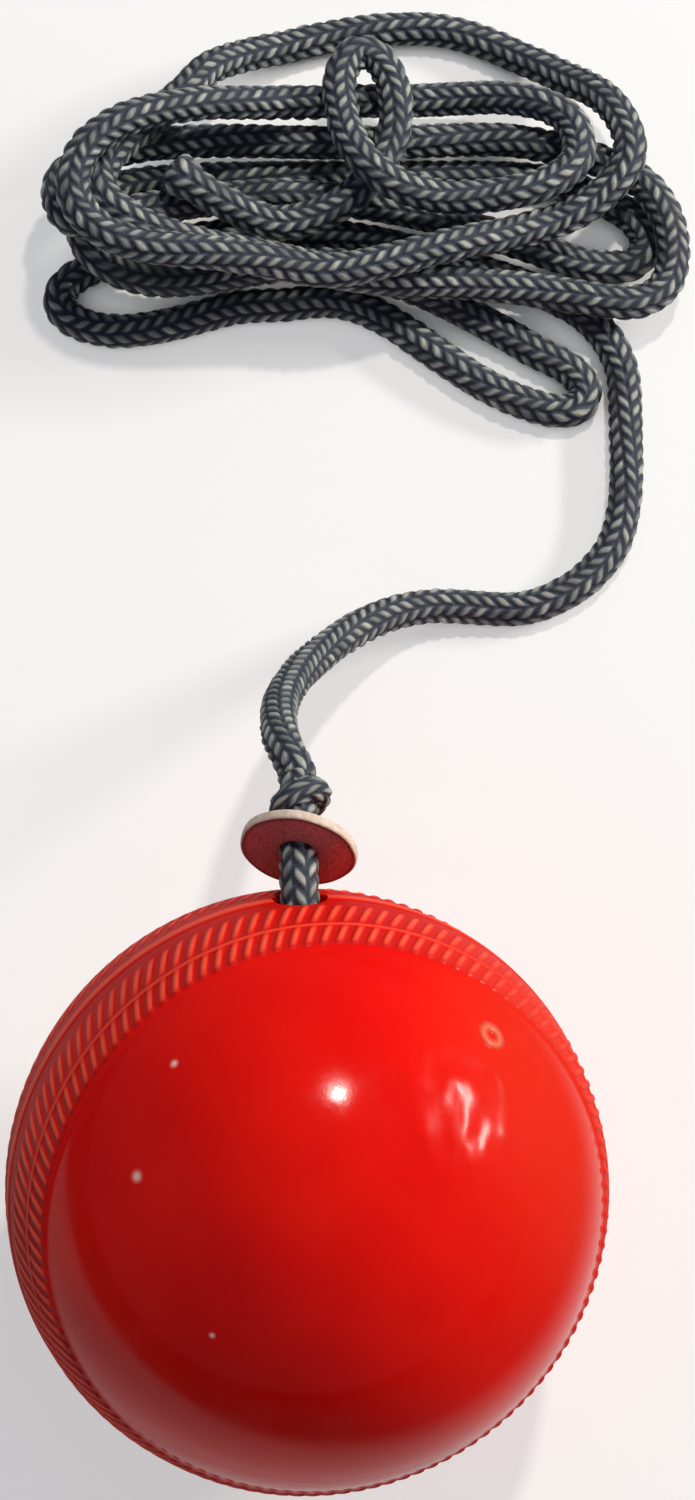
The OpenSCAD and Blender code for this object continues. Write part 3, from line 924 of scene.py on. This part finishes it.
# %% Cork finish
cork = Finish("pressed_cork")
grain_place = {"Vector": cork.place(), "Scale": 700.0}
cell = cork.node("ShaderNodeTexVoronoi", {}, grain_place, out="Color")
grain_edge = cork.node("ShaderNodeTexVoronoi", {"feature": "DISTANCE_TO_EDGE"}, grain_place)
grain_tone = cork.node("ShaderNodeSeparateColor", {}, {"Color": cell})
crumb = cork.mix(grain_tone, (0.2, 0.1, 0.05), (0.42, 0.25, 0.13))
cork_finish = cork.skin(
    Base_Color=cork.mix(grain_edge.fade(0.1, 0.0), crumb, (0.04, 0.02, 0.012)),
    Roughness=0.8,
    Normal=cork.bump(grain_edge.fade(0.0, 0.25), 0.3, 0.7),
)
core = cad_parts["core"]
core.data.materials.clear()
core.data.materials.append(cork_finish)
print("finish", cork_finish.name)

# %% [markdown]
#
# The free cord is one limp length that lies loose on the floor and ends in a plain cut
# end. Its knot goes with it. The mesh alone doesn't say so. Below, the place of its knot and
# 800 points along its line are worked out in metres, and nothing more is done with them.

# %% Free cord facts
facts_at = np.linspace(0, len(free_line) - 1, 800).astype(int)
tuple(knot_far * MM)
(free_line[facts_at] * MM).tolist()

# %% [markdown]
# ## The floor
#
# The floor is plain and pale. More light could make it white, but the ball would burn out
# too. So half of what the camera and the reflections see of it is its own soft glow, and
# the other half keeps the shadows. In the slits between strands the glow goes, since no
# sky gets there. The ball mirrors the floor on its left and a dark room everywhere else,
# so reflections see the floor dim except beside the ball.

# %% Floor
pale = Finish("pale_floor")
path_kind = "ShaderNodeLightPath"
seen = pale.node(path_kind, out="Is Camera Ray") + pale.node(path_kind, out="Is Glossy Ray")
seen = seen + pale.node(path_kind, out="Is Transmission Ray")
plain = pale.node("ShaderNodeBsdfDiffuse", {}, {"Color": (0.93, 0.92, 0.9, 1.0)})
bright = pale.node("ShaderNodeEmission", {}, {"Color": (1.0, 1.0, 1.0, 1.0), "Strength": 1.0})
open_sky = pale.node("ShaderNodeAmbientOcclusion", {"samples": 8}, {"Distance": 0.025}, out="AO")
share = seen.fade(0.0, 1.0) * open_sky.fade(0.05, 0.5) * 0.5
both = pale.node("ShaderNodeMixShader", {}, {0: share, 1: plain, 2: bright})
dim = pale.node("ShaderNodeBsdfDiffuse", {}, {"Color": (0.1, 0.1, 0.1, 1.0)})
beside = pale.near((-100.0, 20.0, 0.0), 150.0, 200.0)
far_off = pale.node(path_kind, out="Is Glossy Ray") * (1.0 - 0.7 * beside)
sheet = pale.node("ShaderNodeMixShader", {}, {0: far_off, 1: both, 2: dim})
pale.node("ShaderNodeOutputMaterial", {}, {"Surface": sheet})
half_side = 4000.0
corners = [(half_side * x, half_side * y, 0) for x, y in ((-1, -1), (1, -1), (1, 1), (-1, 1))]
floor = new_piece("floor", corners, [[0, 1, 2, 3]], pale.material)
print("floor", floor.name)

# %% [markdown]
# ## Light
#
# A warm key from the right lights the ball as in the photograph, a small lamp overhead
# gives the second glint, and a dim cool sky fills the shade. A picture of a room could
# light the scene as well, but two lamps are easier to understand and to move.


# %% Lamps and sky
def lamp(name, direction, distance, width, height, watts, colour):
    """A rectangular lamp that faces the object."""
    data = bpy.data.lights.new(name, "AREA")
    data.shape, data.size, data.size_y = "RECTANGLE", width, height
    data.energy, data.color = watts, colour
    made = bpy.data.objects.new(name, data)
    away = Vector(direction).normalized()
    made.location = Vector((0.0, 0.06, 0.03)) + away * distance
    made.rotation_mode = "QUATERNION"
    made.rotation_quaternion = away.to_track_quat("Z", "Y")
    bpy.context.scene.collection.objects.link(made)
    return made


warm = (1.0, 0.95, 0.87)
lamp("key", (0.83, 0.31, 0.41), 1.0, 0.32, 0.09, 8.0, warm)
lamp("overhead", (0.2, 0.405, 0.885), 1.0, 0.055, 0.055, 4.8, warm)
world = bpy.data.worlds.new("sky")
world.use_nodes = True
background = world.node_tree.nodes["Background"]
background.inputs["Color"].default_value = (0.7, 0.81, 1.0, 1.0)
background.inputs["Strength"].default_value = 0.2
bpy.context.scene.world = world
bpy.context.scene.view_settings.view_transform = "Standard"
print("lamps", len(bpy.data.lights))
